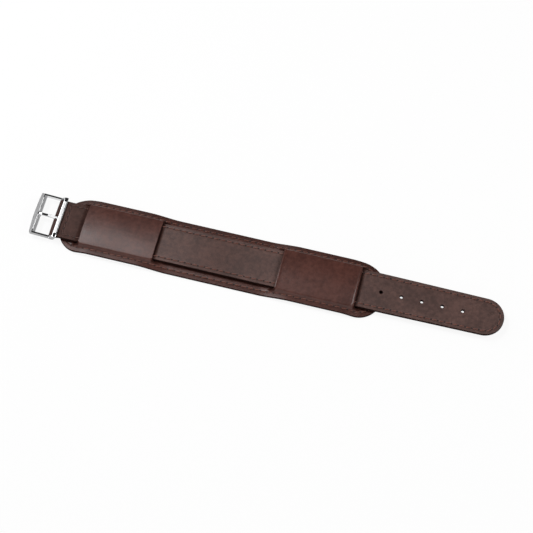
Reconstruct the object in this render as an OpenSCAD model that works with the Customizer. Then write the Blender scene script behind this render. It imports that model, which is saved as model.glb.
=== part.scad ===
// One-piece bund watch strap: a straight leather strap threaded over and under a leather wrist pad,
// with a pin buckle on a spring bar. All lengths are in millimetres.
// X runs along the strap from the buckle to the tip, Y across it and Z up from the surface it lies on.

/* [Strap] */
// Length of the strap from the buckle's axis to the tip
strap_len = 223.3; // [200:1:240]
// Width of the strap
strap_w = 20; // [16:0.5:24]
// How much narrower the strap is at its tip
tip_taper = 1; // [0:0.25:4]
// Length over which the strap narrows
taper_len = 48; // [20:1:60]
// Thickness of the strap's top leather
strap_top_t = 1; // [0.8:0.05:1.4]
// Thickness of the strap's lining leather
strap_lining_t = 0.8; // [0.6:0.05:1.2]
// Diameter of the buckle holes
hole_d = 1.6; // [1.2:0.1:2.2]
// Number of buckle holes
hole_count = 5; // [3:1:7]
// Distance from one buckle hole to the next
hole_pitch = 10; // [6:0.5:11]
// Distance from the tip to the nearest buckle hole
hole_from_tip = 20; // [14:0.5:26]
// Distance from the strap's edge to its seam
strap_seam_inset = 1.9; // [1.4:0.1:2.6]

/* [Fold at the buckle] */
// Thickness of the leather where it is skived to turn round the spring bar
fold_t = 0.7; // [0.5:0.05:0.8]
// How far the fold stands above the strap's face
fold_rise = 0.1; // [0:0.05:0.3]
// Distance from the buckle's axis to where the fold becomes the flat strap
fold_join = 4; // [3.5:0.25:5]
// Distance from the buckle's axis to the end of the turned flap
flap_len = 11; // [9.5:0.5:14]
// Distance from the buckle's axis to the seam across the strap
cross_seam_x = 5; // [4.5:0.25:8]

/* [Pad] */
// Length of the pad
pad_len = 161; // [152:1:168]
// Width of the pad's border beside the strap
pad_border = 4.5; // [4:0.25:7]
// Radius of the pad's corners
pad_corner = 12; // [8:0.5:13]
// Distance from the buckle's axis to the pad's near end
pad_from_bar = 2.1; // [2:0.05:9]
// Thickness of the pad's top leather
pad_top_t = 0.8; // [0.6:0.05:1]
// Thickness of the pad's lining leather
pad_lining_t = 0.7; // [0.5:0.05:1]
// How far the pad is raised where the strap passes through it
pad_lift = 1.8; // [1:0.1:2.4]
// Distance from the pad's middle to the slots beside the watch
inner_slot = 30.9; // [24:0.1:34]
// Distance from each end of the pad to the slot near it
end_slot = 11.9; // [9.5:0.1:16]
// Width of the slots
slot_cut = 1.2; // [0.8:0.1:2]
// Half the length over which the pad rises at a slot beside the watch
inner_slope = 8; // [5:0.5:10]
// Distance from the pad's edge to its seam
pad_seam_inset = 2.3; // [1.8:0.1:2.6]

/* [Sewing] */
// Distance from one needle hole to the next
stitch_pitch = 3.3; // [2.5:0.1:4.5]
// Width of the thread
thread_w = 0.5; // [0.35:0.05:0.6]
// How far the thread stands proud of the leather
thread_proud = 0.1; // [0.05:0.01:0.12]

/* [Buckle] */
// Distance from the buckle's axis to the front of its front bar
frame_reach = 11.6; // [10.5:0.1:13]
// Width of the front bar, along the strap
front_bar_l = 3.3; // [2.8:0.1:3.8]
// Width of the front bar's satin face, along the strap
satin_l = 2.1; // [1.6:0.1:2.4]
// How far the front bar's outer edge bows out
front_bow = 0.6; // [0.3:0.1:1]
// Height of the frame's front bar and arms
frame_h = 2.2; // [1.8:0.1:2.6]
// Width of each arm
arm_w = 0.85; // [0.8:0.05:1.3]
// Radius of the frame's front corners
frame_corner = 1.2; // [0.6:0.1:2]
// Radius of the eye at the rear of each arm
eye_r = 1.5; // [1.3:0.05:1.8]
// Width of the rear bar, along the strap
rear_bar_l = 2.2; // [1.6:0.1:2.4]
// Thickness of the rear bar
rear_bar_t = 1; // [0.8:0.05:1.4]
// Distance from the buckle's axis back to the middle of the rear bar
rear_bar_back = 1.6; // [1.4:0.1:2]
// Angle at which the frame stands up from the strap
frame_tilt = 5; // [0:0.5:10]
// Width of the tongue
tongue_w = 1.3; // [1:0.05:1.6]
// Thickness of the tongue
tongue_t = 1; // [0.8:0.05:1.2]
// How far the tongue's tip reaches over the front bar
tongue_lap = 1.3; // [0.8:0.1:1.5]

/* [Spring bar] */
// Outer diameter of the spring bar's tube
tube_d = 1.5; // [1.3:0.05:1.7]
// Thickness of the tube's wall
tube_wall = 0.15; // [0.12:0.01:0.2]
// Length of the rolled-in lip at each end of the tube
lip_l = 0.4; // [0.3:0.05:0.6]
// Diameter of the pins' tips
pin_d = 0.8; // [0.6:0.05:0.9]
// How far a pin enters its arm
pin_in_arm = 0.8; // [0.5:0.05:0.8]
// Length of a pin's thick part, which stays inside the tube
shank_l = 6; // [4:0.5:7]
// Diameter of the spring's wire
wire_d = 0.2; // [0.15:0.01:0.22]
// Number of turns of the spring
coil_turns = 9; // [6:1:12]

/* [Clearances] */
// Gap between the strap and the pad's lining below it
lining_gap = 0.2; // [0.15:0.05:0.4]
// Gap between the strap and the pad's leather above it
roof_gap = 0.25; // [0.2:0.05:0.5]
// Gap between each edge of the strap and the pad's leather
side_gap = 0.3; // [0.2:0.05:0.5]
// Gap between each edge of the strap and the buckle's arm
arm_gap = 0.2; // [0.1:0.05:0.4]
// Gap between each end of the spring bar's tube and the arm
tube_end_gap = 0.3; // [0.2:0.05:0.6]
// Gap between the spring bar and the leather folded round it
fold_gap = 0.1; // [0.05:0.01:0.15]
// Running gap of the pins and of the tongue's eye, on the radius
run_gap = 0.05; // [0.03:0.01:0.08]
// Gap round the tongue in the leather's slit and in the front bar
tongue_gap = 0.25; // [0.15:0.05:0.4]
// Gap under the tongue's tip in the front bar's notch
rest_gap = 0.06; // [0.04:0.01:0.1]
// Gap between the fold and the rear bar over it
rear_gap = 0.15; // [0.1:0.05:0.5]

/* [Hidden] */
$fn = 64;
cut = 1;
slope_steps = 8;
leather_brown = [0.26, 0.17, 0.15];
pad_brown = [0.3, 0.19, 0.17];
lining_brown = [0.2, 0.12, 0.1];
thread_red = [0.42, 0.25, 0.2];
polished = [0.8, 0.8, 0.82];
steel = [0.6, 0.6, 0.62];

// heights
pad_t = pad_lining_t + pad_top_t;
strap_bottom_z = pad_lift + pad_lining_t + lining_gap;
strap_mid_z = strap_bottom_z + strap_lining_t;
strap_top_z = strap_mid_z + strap_top_t;
roof_under_z = strap_top_z + roof_gap;
roof_top_z = roof_under_z + pad_top_t;
fold_r = tube_d / 2 + fold_gap + fold_t;
bar_z = strap_top_z + fold_rise - fold_r;

// places along the strap; the middle of the whole length is at zero
front_x = frame_reach * cos(frame_tilt) + frame_h / 2 * sin(frame_tilt);
bar_x = (front_x - strap_len) / 2;
tip_x = bar_x + strap_len;
pad_x = bar_x + pad_from_bar + pad_len / 2;
tip_w = strap_w - tip_taper;
tip_round_x = tip_x - tip_w / 2;
taper_x = tip_round_x - taper_len;
outer_slot = pad_len / 2 - end_slot;
outer_slope = end_slot / 2;
pad_w = strap_w + 2 * pad_border;

// the pad's leather beside the strap inside a tunnel
side_lean = pad_border / 8;
side_y = strap_w / 2 + side_gap;
side_foot_y = side_y + side_lean;

// buckle, about the spring bar's axis
inner_half = strap_w / 2 + arm_gap;
outer_half = inner_half + arm_w;
front_bar_x = frame_reach - front_bar_l;
rear_bar_flat = rear_bar_l - rear_bar_t;
rear_bar_under = (fold_r + rear_gap + (rear_bar_back + rear_bar_flat / 2) * sin(frame_tilt))
    / cos(frame_tilt);
rear_bar_mid = rear_bar_under + rear_bar_t / 2;
bow_r = (outer_half * outer_half + front_bow * front_bow) / (2 * front_bow);
bow_facets = 720;
bevel_drop = 0.4 * frame_h;
tongue_low = frame_h / 2 - tongue_t;
tongue_eye_r = tube_d / 2 + run_gap;
tongue_eye_wall = tongue_t / 2;
tongue_ring_r = tongue_eye_r + tongue_eye_wall;
tongue_tip_x = front_bar_x + tongue_lap;
slit_w = tongue_w + 2 * tongue_gap;
slit_back = tongue_ring_r + 2 * tongue_gap;

// spring bar
tube_half = inner_half - tube_end_gap;
bore_r = tube_d / 2 - tube_wall;
shank_r = bore_r - run_gap;
shank_end = tube_half - lip_l - run_gap;
pin_end = inner_half + pin_in_arm;

// sewing
thread_r = thread_w / 2;
dip = 2 * thread_proud;
strap_seam_y = strap_w / 2 - strap_seam_inset;
tip_seam_r = tip_w / 2 - strap_seam_inset;
pad_seam_y = pad_w / 2 - pad_seam_inset;
pad_seam_r = pad_corner - pad_seam_inset;
pad_run = pad_len - 2 * pad_corner;
pad_end_run = pad_w - 2 * pad_corner;
pad_arc = pad_seam_r * PI / 2;
pad_end_path = 2 * pad_arc + pad_end_run;

// spring
coil_r = shank_r - wire_d / 2;
coil_half = shank_end - shank_l - wire_d / 2 - run_gap;
coil_steps = 10;
coil_sides = 6;

// Smooth step from 0 to 1
function ease(t) = let (c = max(0, min(1, t))) c * c * (3 - 2 * c);

// Height of the pad's underside at a distance along it
function lift(x) = let (d = abs(x - pad_x))
    pad_lift * ease((d - inner_slot + inner_slope) / (2 * inner_slope))
    * (1 - ease((d - outer_slot + outer_slope) / (2 * outer_slope)));

// Stations along half the pad, where its underside changes height
half_stations = concat(
    [for (i = [0:slope_steps]) inner_slot + inner_slope * (2 * i / slope_steps - 1)],
    [for (i = [0:slope_steps]) outer_slot + outer_slope * (2 * i / slope_steps - 1)],
    [pad_len / 2 + cut]);
stations = concat(
    [for (i = [len(half_stations) - 1:-1:0]) pad_x - half_stations[i]],
    [for (s = half_stations) pad_x + s]);

// Point where a tangent from p touches a circle of radius r about zero; side is 1 above and -1 below
function touch(p, r, side) = let (a = atan2(p[1], p[0]) + side * acos(r / norm(p)))
    [r * cos(a), r * sin(a)];

// A layer of the pad between two heights above its underside, seen from the side
module pad_side_view(low, high) {
    polygon(concat(
        [for (s = stations) [s, lift(s) + low]],
        [for (i = [len(stations) - 1:-1:0]) [stations[i], lift(stations[i]) + high]]));
}

// Extrudes a side view across the width, centred on the strap's middle line
module across(width) {
    rotate([90, 0, 0])
        linear_extrude(height = width, center = true)
            children();
}

// Plan of the pad
module pad_plan() {
    translate([pad_x, 0]) {
        square([pad_len - 2 * pad_corner, pad_w], center = true);
        square([pad_len, pad_w - 2 * pad_corner], center = true);
        for (sx = [-1, 1], sy = [-1, 1])
            translate([sx * (pad_len / 2 - pad_corner), sy * (pad_w / 2 - pad_corner)])
                circle(r = pad_corner);
    }
}

// Everything inside the pad's outline
module pad_block() {
    translate([0, 0, -cut])
        linear_extrude(height = roof_top_z + 2 * cut)
            pad_plan();
}

// Plan of the strap from a place along it to its tip
module strap_plan(from_x) {
    polygon([[from_x, -strap_w / 2], [taper_x, -strap_w / 2], [tip_round_x, -tip_w / 2],
        [tip_round_x, tip_w / 2], [taper_x, strap_w / 2], [from_x, strap_w / 2]]);
    translate([tip_round_x, 0])
        circle(r = tip_w / 2);
}

// The row of buckle holes
module buckle_holes() {
    for (i = [0:hole_count - 1])
        translate([tip_x - hole_from_tip - i * hole_pitch, 0, strap_bottom_z - cut])
            cylinder(d = hole_d, h = strap_top_z - strap_bottom_z + 2 * cut);
}

// Top leather of the strap, from the end of the turned flap to the tip
module strap_top() {
    color(leather_brown)
        difference() {
            translate([0, 0, strap_mid_z])
                linear_extrude(height = strap_top_t)
                    strap_plan(bar_x + flap_len);
            buckle_holes();
        }
}

// The top leather's end, turned round the spring bar and glued back under itself, with the tongue's slit
module strap_fold() {
    top = strap_top_z - bar_z;
    low = strap_bottom_z - bar_z;
    loop_r = fold_r - fold_t;
    crease = [fold_join - fold_t, strap_mid_z - bar_z];
    color(leather_brown)
        translate([bar_x, 0, bar_z])
            difference() {
                union() {
                    across(strap_w)
                        circle(r = fold_r);
                    across(strap_w)
                        polygon([[0, 0], touch([fold_join, top], fold_r, 1), [fold_join, top],
                            [flap_len, top], [flap_len, low], [fold_join, low],
                            touch([fold_join, low], fold_r, -1)]);
                }
                across(strap_w + 2 * cut)
                    circle(r = loop_r);
                across(strap_w + 2 * cut)
                    polygon([[0, 0], touch(crease, loop_r, 1), crease, touch(crease, loop_r, -1)]);
                translate([-fold_r - cut, -slit_w / 2, -fold_r - cut])
                    cube([fold_r + cut + slit_back, slit_w, 2 * (fold_r + cut)]);
            }
}

// Lining leather of the strap, from the end of the flap to the tip
module strap_lining() {
    color(lining_brown)
        difference() {
            translate([0, 0, strap_bottom_z])
                linear_extrude(height = strap_lining_t)
                    strap_plan(bar_x + flap_len);
            buckle_holes();
        }
}

// One lock stitch from a needle hole to the next, as [x, y, height of the work's underside]
module stitch(from, to, work_t) {
    run = norm([to[0] - from[0], to[1] - from[1]]);
    climb = to[2] - from[2];
    top = work_t + thread_proud;
    translate(from)
        rotate([0, 0, atan2(to[1] - from[1], to[0] - from[0])])
            rotate([90, 0, 0])
                linear_extrude(height = thread_w, center = true)
                    difference() {
                        polygon([[0, 0], [run, climb], [run, climb + top - dip],
                            [run - thread_r, climb + top], [thread_r, top], [0, top - dip]]);
                        polygon([[thread_r, thread_r], [run - thread_r, climb + thread_r],
                            [run - thread_r, climb + top - thread_w], [thread_r, top - thread_w]]);
                    }
}

// A straight seam of lock stitches along X whose work rises by the pad's lift times a share
module straight_seam(start_x, run, work_t, lift_share) {
    count = max(1, round(run / stitch_pitch));
    step = run / count;
    top = work_t + thread_proud;
    xs = [for (i = [0:count]) start_x + i * step];
    hs = [for (x = xs) lift_share * lift(x)];
    across(thread_w)
        difference() {
            polygon(concat(
                [for (i = [0:count]) [xs[i], hs[i]]],
                [for (i = [count:-1:0]) for (side = [1, 0, -1])
                    if (!(i == count && side == 1) && !(i == 0 && side == -1))
                        [xs[i] + side * thread_r, hs[i] + top - (side == 0 ? dip : 0)]]));
            for (i = [0:count - 1])
                polygon([[xs[i] + thread_r, hs[i] + thread_r],
                    [xs[i + 1] - thread_r, hs[i + 1] + thread_r],
                    [xs[i + 1] - thread_r, hs[i + 1] + top - thread_w],
                    [xs[i] + thread_r, hs[i] + top - thread_w]]);
        }
}

// A point of the pad's seam round its end, at a distance along that seam
function end_seam_point(s, end) =
    let (along = s < pad_arc ? s / pad_arc * 90
            : s < pad_arc + pad_end_run ? 90 : 90 + (s - pad_arc - pad_end_run) / pad_arc * 90,
        middle_y = s < pad_arc ? -pad_end_run / 2
            : s < pad_arc + pad_end_run ? s - pad_arc - pad_end_run / 2 : pad_end_run / 2,
        x = pad_x + end * (pad_run / 2 + pad_seam_r * sin(along)))
    [x, middle_y - pad_seam_r * cos(along), lift(x)];

// Thread of the seams along both edges of the strap and round its tip
module strap_thread() {
    start_x = bar_x + cross_seam_x;
    narrowing = atan2(tip_taper / 2, taper_len);
    tip_count = max(4, round(tip_seam_r * PI / stitch_pitch));
    work_t = strap_top_z - strap_bottom_z;
    color(thread_red) {
        for (side = [-1, 1]) {
            translate([0, side * strap_seam_y, strap_bottom_z])
                straight_seam(start_x, taper_x - start_x, work_t, 0);
            translate([taper_x, side * strap_seam_y, strap_bottom_z])
                rotate([0, 0, -side * narrowing])
                    straight_seam(0, taper_len / cos(narrowing), work_t, 0);
        }
        for (i = [0:tip_count - 1])
            stitch(tip_point(i / tip_count), tip_point((i + 1) / tip_count), work_t);
    }
}

// A point of the seam round the strap's tip, at a share of the way round
function tip_point(share) =
    [tip_round_x + tip_seam_r * sin(180 * share), -tip_seam_r * cos(180 * share), strap_bottom_z];

// Thread of the seam across the strap that holds the turned flap
module fold_thread() {
    x = bar_x + cross_seam_x;
    half = strap_seam_y - thread_w;
    count = max(2, round(2 * half / stitch_pitch));
    color(thread_red)
        for (i = [0:count - 1])
            stitch([x, half * (2 * i / count - 1), strap_bottom_z],
                [x, half * (2 * (i + 1) / count - 1), strap_bottom_z], strap_top_z - strap_bottom_z);
}

// Section across a tunnel: the pad's leather over the strap and down both its sides
module tunnel_section() {
    outer = [[side_foot_y + pad_top_t, 0], [side_y + pad_top_t, roof_top_z - pad_top_t],
        [side_y, roof_top_z]];
    corner = side_gap / 2;
    inner = [[side_y - corner, roof_under_z], [side_y, roof_under_z - corner], [side_foot_y, 0]];
    polygon(concat(
        outer,
        [for (i = [2:-1:0]) [-outer[i].x, outer[i].y]],
        [for (i = [2:-1:0]) [-inner[i].x, inner[i].y]],
        inner));
}

// Top leather of the pad, with the two tunnels that the strap passes through
module pad_top() {
    tunnel_l = outer_slot - inner_slot;
    tunnel_mid = (outer_slot + inner_slot) / 2;
    color(pad_brown) {
        difference() {
            intersection() {
                across(pad_w + 2 * cut)
                    pad_side_view(pad_lining_t, pad_t);
                pad_block();
            }
            for (end = [-1, 1])
                translate([pad_x + end * tunnel_mid, 0, 0])
                    cube([tunnel_l + 2 * slot_cut, 2 * side_foot_y, 2 * roof_top_z], center = true);
        }
        difference() {
            for (end = [-1, 1])
                translate([pad_x + end * tunnel_mid, 0, 0])
                    rotate([90, 0, 90])
                        linear_extrude(height = tunnel_l, center = true)
                            tunnel_section();
            across(pad_w + 2 * cut)
                pad_side_view(-pad_lift - cut, pad_lining_t);
        }
    }
}

// Lining leather of the pad, which lies on the wrist
module pad_lining() {
    color(lining_brown)
        intersection() {
            across(pad_w + 2 * cut)
                pad_side_view(0, pad_lining_t);
            pad_block();
        }
}

// Thread of the seam all round the pad
module pad_thread() {
    end_count = max(6, round(pad_end_path / stitch_pitch));
    color(thread_red) {
        for (side = [-1, 1])
            translate([0, side * pad_seam_y, 0])
                straight_seam(pad_x - pad_run / 2, pad_run, pad_t, 1);
        for (end = [-1, 1], i = [0:end_count - 1])
            stitch(end_seam_point(i * pad_end_path / end_count, end),
                end_seam_point((i + 1) * pad_end_path / end_count, end), pad_t);
    }
}

// Plan of the buckle's frame, with its bowed front and round corners
module frame_plan() {
    back = rear_bar_back + rear_bar_l + eye_r;
    intersection() {
        translate([bow_r - frame_reach, 0])
            circle(r = bow_r, $fn = bow_facets);
        union() {
            translate([frame_corner - frame_reach, -outer_half])
                square([frame_reach + back - frame_corner, 2 * outer_half]);
            translate([-frame_reach, frame_corner - outer_half])
                square([frame_reach, 2 * (outer_half - frame_corner)]);
            for (side = [-1, 1])
                translate([frame_corner - frame_reach, side * (outer_half - frame_corner)])
                    circle(r = frame_corner);
        }
    }
}

// Side view of the rear bar
module rear_bar_side_view() {
    translate([rear_bar_back, rear_bar_mid]) {
        square([rear_bar_flat, rear_bar_t], center = true);
        for (end = [-1, 1])
            translate([end * rear_bar_flat / 2, 0])
                circle(d = rear_bar_t);
    }
}

// Side view of an arm, from the front bar to the eye and up to the rear bar
module arm_side_view() {
    rear = [rear_bar_back + rear_bar_l / 2, rear_bar_mid];
    front = [rear_bar_back - rear_bar_l / 2, rear_bar_mid];
    translate([-frame_reach, -frame_h / 2])
        square([frame_reach, frame_h]);
    circle(r = eye_r);
    polygon([[0, 0], touch(rear, eye_r, -1), rear, front, touch(front, eye_r, 1)]);
    rear_bar_side_view();
}

// Frame of the buckle: front bar, two arms and the rear bar over the fold, in one casting
module buckle_frame() {
    notch_x = tongue_tip_x + tongue_gap;
    color(polished)
        translate([bar_x, 0, bar_z])
            rotate([0, frame_tilt, 0])
                difference() {
                    intersection() {
                        union() {
                            across(2 * (outer_half + cut))
                                polygon([[-frame_reach - cut, -frame_h / 2],
                                    [-front_bar_x, -frame_h / 2],
                                    [-front_bar_x, frame_h / 2 - bevel_drop],
                                    [satin_l - frame_reach, frame_h / 2],
                                    [-frame_reach - cut, frame_h / 2]]);
                            for (side = [-1, 1])
                                translate([0, side * (inner_half + arm_w / 2), 0])
                                    across(arm_w)
                                        arm_side_view();
                            across(2 * outer_half)
                                rear_bar_side_view();
                        }
                        translate([0, 0, -frame_reach])
                            linear_extrude(height = 2 * frame_reach)
                                frame_plan();
                    }
                    across(2 * (outer_half + cut))
                        circle(r = pin_d / 2 + run_gap);
                    translate([-notch_x, -slit_w / 2, tongue_low - rest_gap])
                        cube([notch_x - front_bar_x + cut, slit_w, frame_h]);
                }
}

// Tongue of the buckle, curled round the spring bar and resting in the front bar's notch
module buckle_tongue() {
    color(polished)
        translate([bar_x, 0, bar_z])
            rotate([0, frame_tilt, 0])
                across(tongue_w)
                    difference() {
                        union() {
                            circle(r = tongue_ring_r);
                            polygon([[0, tongue_ring_r],
                                [tongue_t / 2 - tongue_tip_x, tongue_low + tongue_t],
                                [-tongue_tip_x, tongue_low + tongue_t / 2],
                                [-tongue_tip_x, tongue_low],
                                [0, tongue_ring_r - tongue_t]]);
                        }
                        circle(r = tongue_eye_r);
                    }
}

// Tube of the spring bar, with its ends rolled in to hold the pins
module spring_bar_tube() {
    color(steel)
        translate([bar_x, 0, bar_z])
            difference() {
                across(2 * tube_half)
                    circle(d = tube_d);
                across(2 * (tube_half - lip_l))
                    circle(r = bore_r);
                across(2 * (tube_half + cut))
                    circle(r = pin_d / 2 + run_gap);
            }
}

// A pin of the spring bar; side is -1 for the near end and 1 for the far one
module spring_bar_pin(side) {
    color(steel)
        translate([bar_x, 0, bar_z])
            rotate([-side * 90, 0, 0]) {
                translate([0, 0, shank_end - shank_l])
                    cylinder(r = shank_r, h = shank_l);
                translate([0, 0, shank_end - cut])
                    cylinder(d = pin_d, h = pin_end - shank_end + cut);
            }
}

module spring_bar_pin_near() {
    spring_bar_pin(-1);
}

module spring_bar_pin_far() {
    spring_bar_pin(1);
}

// Coil spring inside the tube, which pushes the two pins apart
module spring_bar_coil() {
    rings = coil_turns * coil_steps;
    points = [for (k = [0:rings], j = [0:coil_sides - 1])
        let (turn = 360 * k / coil_steps, round = 360 * j / coil_sides,
            r = coil_r + wire_d / 2 * cos(round))
        [r * cos(turn), coil_half * (2 * k / rings - 1) + wire_d / 2 * sin(round), r * sin(turn)]];
    walls = [for (k = [0:rings - 1], j = [0:coil_sides - 1])
        let (a = k * coil_sides + j, b = k * coil_sides + (j + 1) % coil_sides)
        each [[a, a + coil_sides, b], [b, a + coil_sides, b + coil_sides]]];
    start = [for (j = [0:coil_sides - 1]) j];
    finish = [for (j = [coil_sides - 1:-1:0]) rings * coil_sides + j];
    color(steel)
        translate([bar_x, 0, bar_z])
            polyhedron(points, concat(walls, [start], [finish]));
}

strap_top();
strap_fold();
strap_lining();
strap_thread();
fold_thread();
pad_top();
pad_lining();
pad_thread();
buckle_frame();
buckle_tongue();
spring_bar_tube();
spring_bar_pin_near();
spring_bar_pin_far();
spring_bar_coil();
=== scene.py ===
"""A one-piece leather watch strap threaded through a stitched wrist pad, with a pin buckle."""

import math

import bmesh
import bpy
import numpy as np
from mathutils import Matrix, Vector


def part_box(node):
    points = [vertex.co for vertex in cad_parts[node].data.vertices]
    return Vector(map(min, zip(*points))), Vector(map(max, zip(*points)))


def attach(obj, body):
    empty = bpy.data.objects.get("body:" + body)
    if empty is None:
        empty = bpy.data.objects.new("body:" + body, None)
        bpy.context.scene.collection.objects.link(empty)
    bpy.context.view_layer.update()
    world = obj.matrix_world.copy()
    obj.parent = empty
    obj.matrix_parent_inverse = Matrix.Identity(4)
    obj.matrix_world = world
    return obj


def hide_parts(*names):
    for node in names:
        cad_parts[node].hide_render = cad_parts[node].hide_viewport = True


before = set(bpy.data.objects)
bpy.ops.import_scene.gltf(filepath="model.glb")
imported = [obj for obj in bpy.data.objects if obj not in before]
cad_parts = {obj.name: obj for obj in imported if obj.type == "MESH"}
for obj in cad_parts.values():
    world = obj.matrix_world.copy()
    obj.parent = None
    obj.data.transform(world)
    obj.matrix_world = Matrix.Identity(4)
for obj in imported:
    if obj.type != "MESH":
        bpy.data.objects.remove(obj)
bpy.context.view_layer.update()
MM = 0.001

# The studio
# A flat white sheet lies under the strap: it shows white to the camera and in the buckle's polish, and
# keeps a part of the strap's soft shadow. Seen from below it is clear, so that the lining shows. The
# walls are pale, the ceiling and the back are dark.
SHEET_HALF = 1.6
SHEET_DROP = 0.00005
PAPER_SHADE = 0.86
SHADOW_SHARE = 0.1
CEILING = ((0.0, 0.85), (0.4, 0.65), (0.58, 0.28), (0.76, 0.05), (1.0, 0.04))
BACK_WALL = 0.3
BACK_REACH = 0.7


def new_material(name):
    """A material with an empty tree, its tree and its output node."""
    material = bpy.data.materials.new(name)
    material.use_nodes = True
    material.node_tree.nodes.clear()
    return material, material.node_tree, material.node_tree.nodes.new("ShaderNodeOutputMaterial")


def place_node(tree, kind, settings=(), **sockets):
    """A new node with its settings, and the plain values of its input sockets by name."""
    node = tree.nodes.new(kind)
    for key, value in dict(settings).items():
        setattr(node, key, value)
    for key, value in sockets.items():
        node.inputs[key.replace("_", " ")].default_value = value
    return node


def wire(tree, *pairs):
    """Links an output to an input for each pair; a node stands for its first output."""
    for start, end in pairs:
        tree.links.new(start.outputs[0] if isinstance(start, bpy.types.Node) else start, end)


def maths(tree, operation, a=None, b=None, c=None):
    """A math node, with plain values at those of its three inputs that are given."""
    node = place_node(tree, "ShaderNodeMath", {"operation": operation})
    for socket, value in zip(node.inputs, (a, b, c)):
        if value is not None:
            socket.default_value = value
    return node


def seen_directly(tree):
    """The node that gives 1 for rays from the camera, from polish and through glass."""
    ray = tree.nodes.new("ShaderNodeLightPath")
    either = maths(tree, "MAXIMUM")
    seen = maths(tree, "MAXIMUM")
    wire(
        tree,
        (ray.outputs["Is Camera Ray"], either.inputs[0]),
        (ray.outputs["Is Glossy Ray"], either.inputs[1]),
        (either, seen.inputs[0]),
        (ray.outputs["Is Transmission Ray"], seen.inputs[1]),
    )
    return seen


def added(name, data):
    """A new object in the scene."""
    thing = bpy.data.objects.new(name, data)
    bpy.context.scene.collection.objects.link(thing)
    return thing


def mesh_piece(name, points, faces):
    """A mesh object at the origin, its points in metres."""
    mesh = bpy.data.meshes.new(name)
    mesh.from_pydata([tuple(p) for p in points], [], [tuple(f) for f in faces])
    mesh.update()
    return added(name, mesh)


corners = [(SHEET_HALF * x, SHEET_HALF * y, -SHEET_DROP) for x, y in ((-1, -1), (1, -1), (1, 1), (-1, 1))]
sheet = mesh_piece("white_sheet", corners, [(0, 1, 2, 3)])
paper, tree, output = new_material("white_paper")
lit = place_node(tree, "ShaderNodeBsdfDiffuse", Color=(PAPER_SHADE, PAPER_SHADE, PAPER_SHADE, 1))
white = place_node(tree, "ShaderNodeEmission", Color=(1, 1, 1, 1), Strength=1.0)
part = maths(tree, "MULTIPLY", b=1 - SHADOW_SHARE)
mix = tree.nodes.new("ShaderNodeMixShader")
side = tree.nodes.new("ShaderNodeNewGeometry")
clear = tree.nodes.new("ShaderNodeBsdfTransparent")
below = tree.nodes.new("ShaderNodeMixShader")
wire(
    tree,
    (seen_directly(tree), part.inputs[0]),
    (part, mix.inputs[0]),
    (lit, mix.inputs[1]),
    (white, mix.inputs[2]),
    (side.outputs["Backfacing"], below.inputs[0]),
    (mix, below.inputs[1]),
    (clear, below.inputs[2]),
    (below, output.inputs["Surface"]),
)
sheet.data.materials.append(paper)

world = bpy.data.worlds.new("studio")
world.use_nodes = True
bpy.context.scene.world = world
tree = world.node_tree
tree.nodes.clear()
output = tree.nodes.new("ShaderNodeOutputWorld")
room = tree.nodes.new("ShaderNodeBackground")
plain_white = place_node(tree, "ShaderNodeBackground", Color=(1, 1, 1, 1), Strength=1.0)
direction = tree.nodes.new("ShaderNodeTexCoord")
height = tree.nodes.new("ShaderNodeSeparateXYZ")
walls = tree.nodes.new("ShaderNodeValToRGB")
walls.color_ramp.interpolation = "EASE"
for stop, (place, level) in zip(list(walls.color_ramp.elements), (CEILING[0], CEILING[-1])):
    stop.position = place
    stop.color = (level, level, level, 1)
for place, level in CEILING[1:-1]:
    walls.color_ramp.elements.new(place).color = (level, level, level, 1)
depth = place_node(tree, "ShaderNodeMapRange", From_Max=BACK_REACH, To_Min=1.0, To_Max=BACK_WALL)
ray = tree.nodes.new("ShaderNodeLightPath")
mix = tree.nodes.new("ShaderNodeMixShader")
wire(
    tree,
    (direction.outputs["Generated"], height.inputs[0]),
    (height.outputs["Z"], walls.inputs[0]),
    (height.outputs["Y"], depth.inputs["Value"]),
    (depth, room.inputs["Strength"]),
    (walls, room.inputs["Color"]),
    (ray.outputs["Is Camera Ray"], mix.inputs[0]),
    (room, mix.inputs[1]),
    (plain_white, mix.inputs[2]),
    (mix, output.inputs["Surface"]),
)
bpy.context.scene.view_settings.view_transform = "Standard"


def softbox(name, place, width, height, watts):
    """A rectangular studio lamp at a place in metres, turned to the middle of the strap."""
    lamp = bpy.data.lights.new(name, "AREA")
    lamp.shape = "RECTANGLE"
    lamp.size, lamp.size_y, lamp.energy = width, height, watts
    stand = added(name, lamp)
    stand.location = place
    stand.rotation_mode = "QUATERNION"
    stand.rotation_quaternion = (-Vector(place)).to_track_quat("-Z", "Y")


softbox("softbox_above", (-0.47, 0.12, 0.85), 0.28, 0.2, 5.4)
softbox("softbox_left", (-0.62, 0.3, 0.55), 0.25, 0.5, 1.6)
softbox("softbox_right", (0.55, 0.1, 0.6), 0.3, 0.4, 2.4)
softbox("softbox_front", (0.05, -0.75, 0.5), 0.8, 0.3, 0.5)

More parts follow.
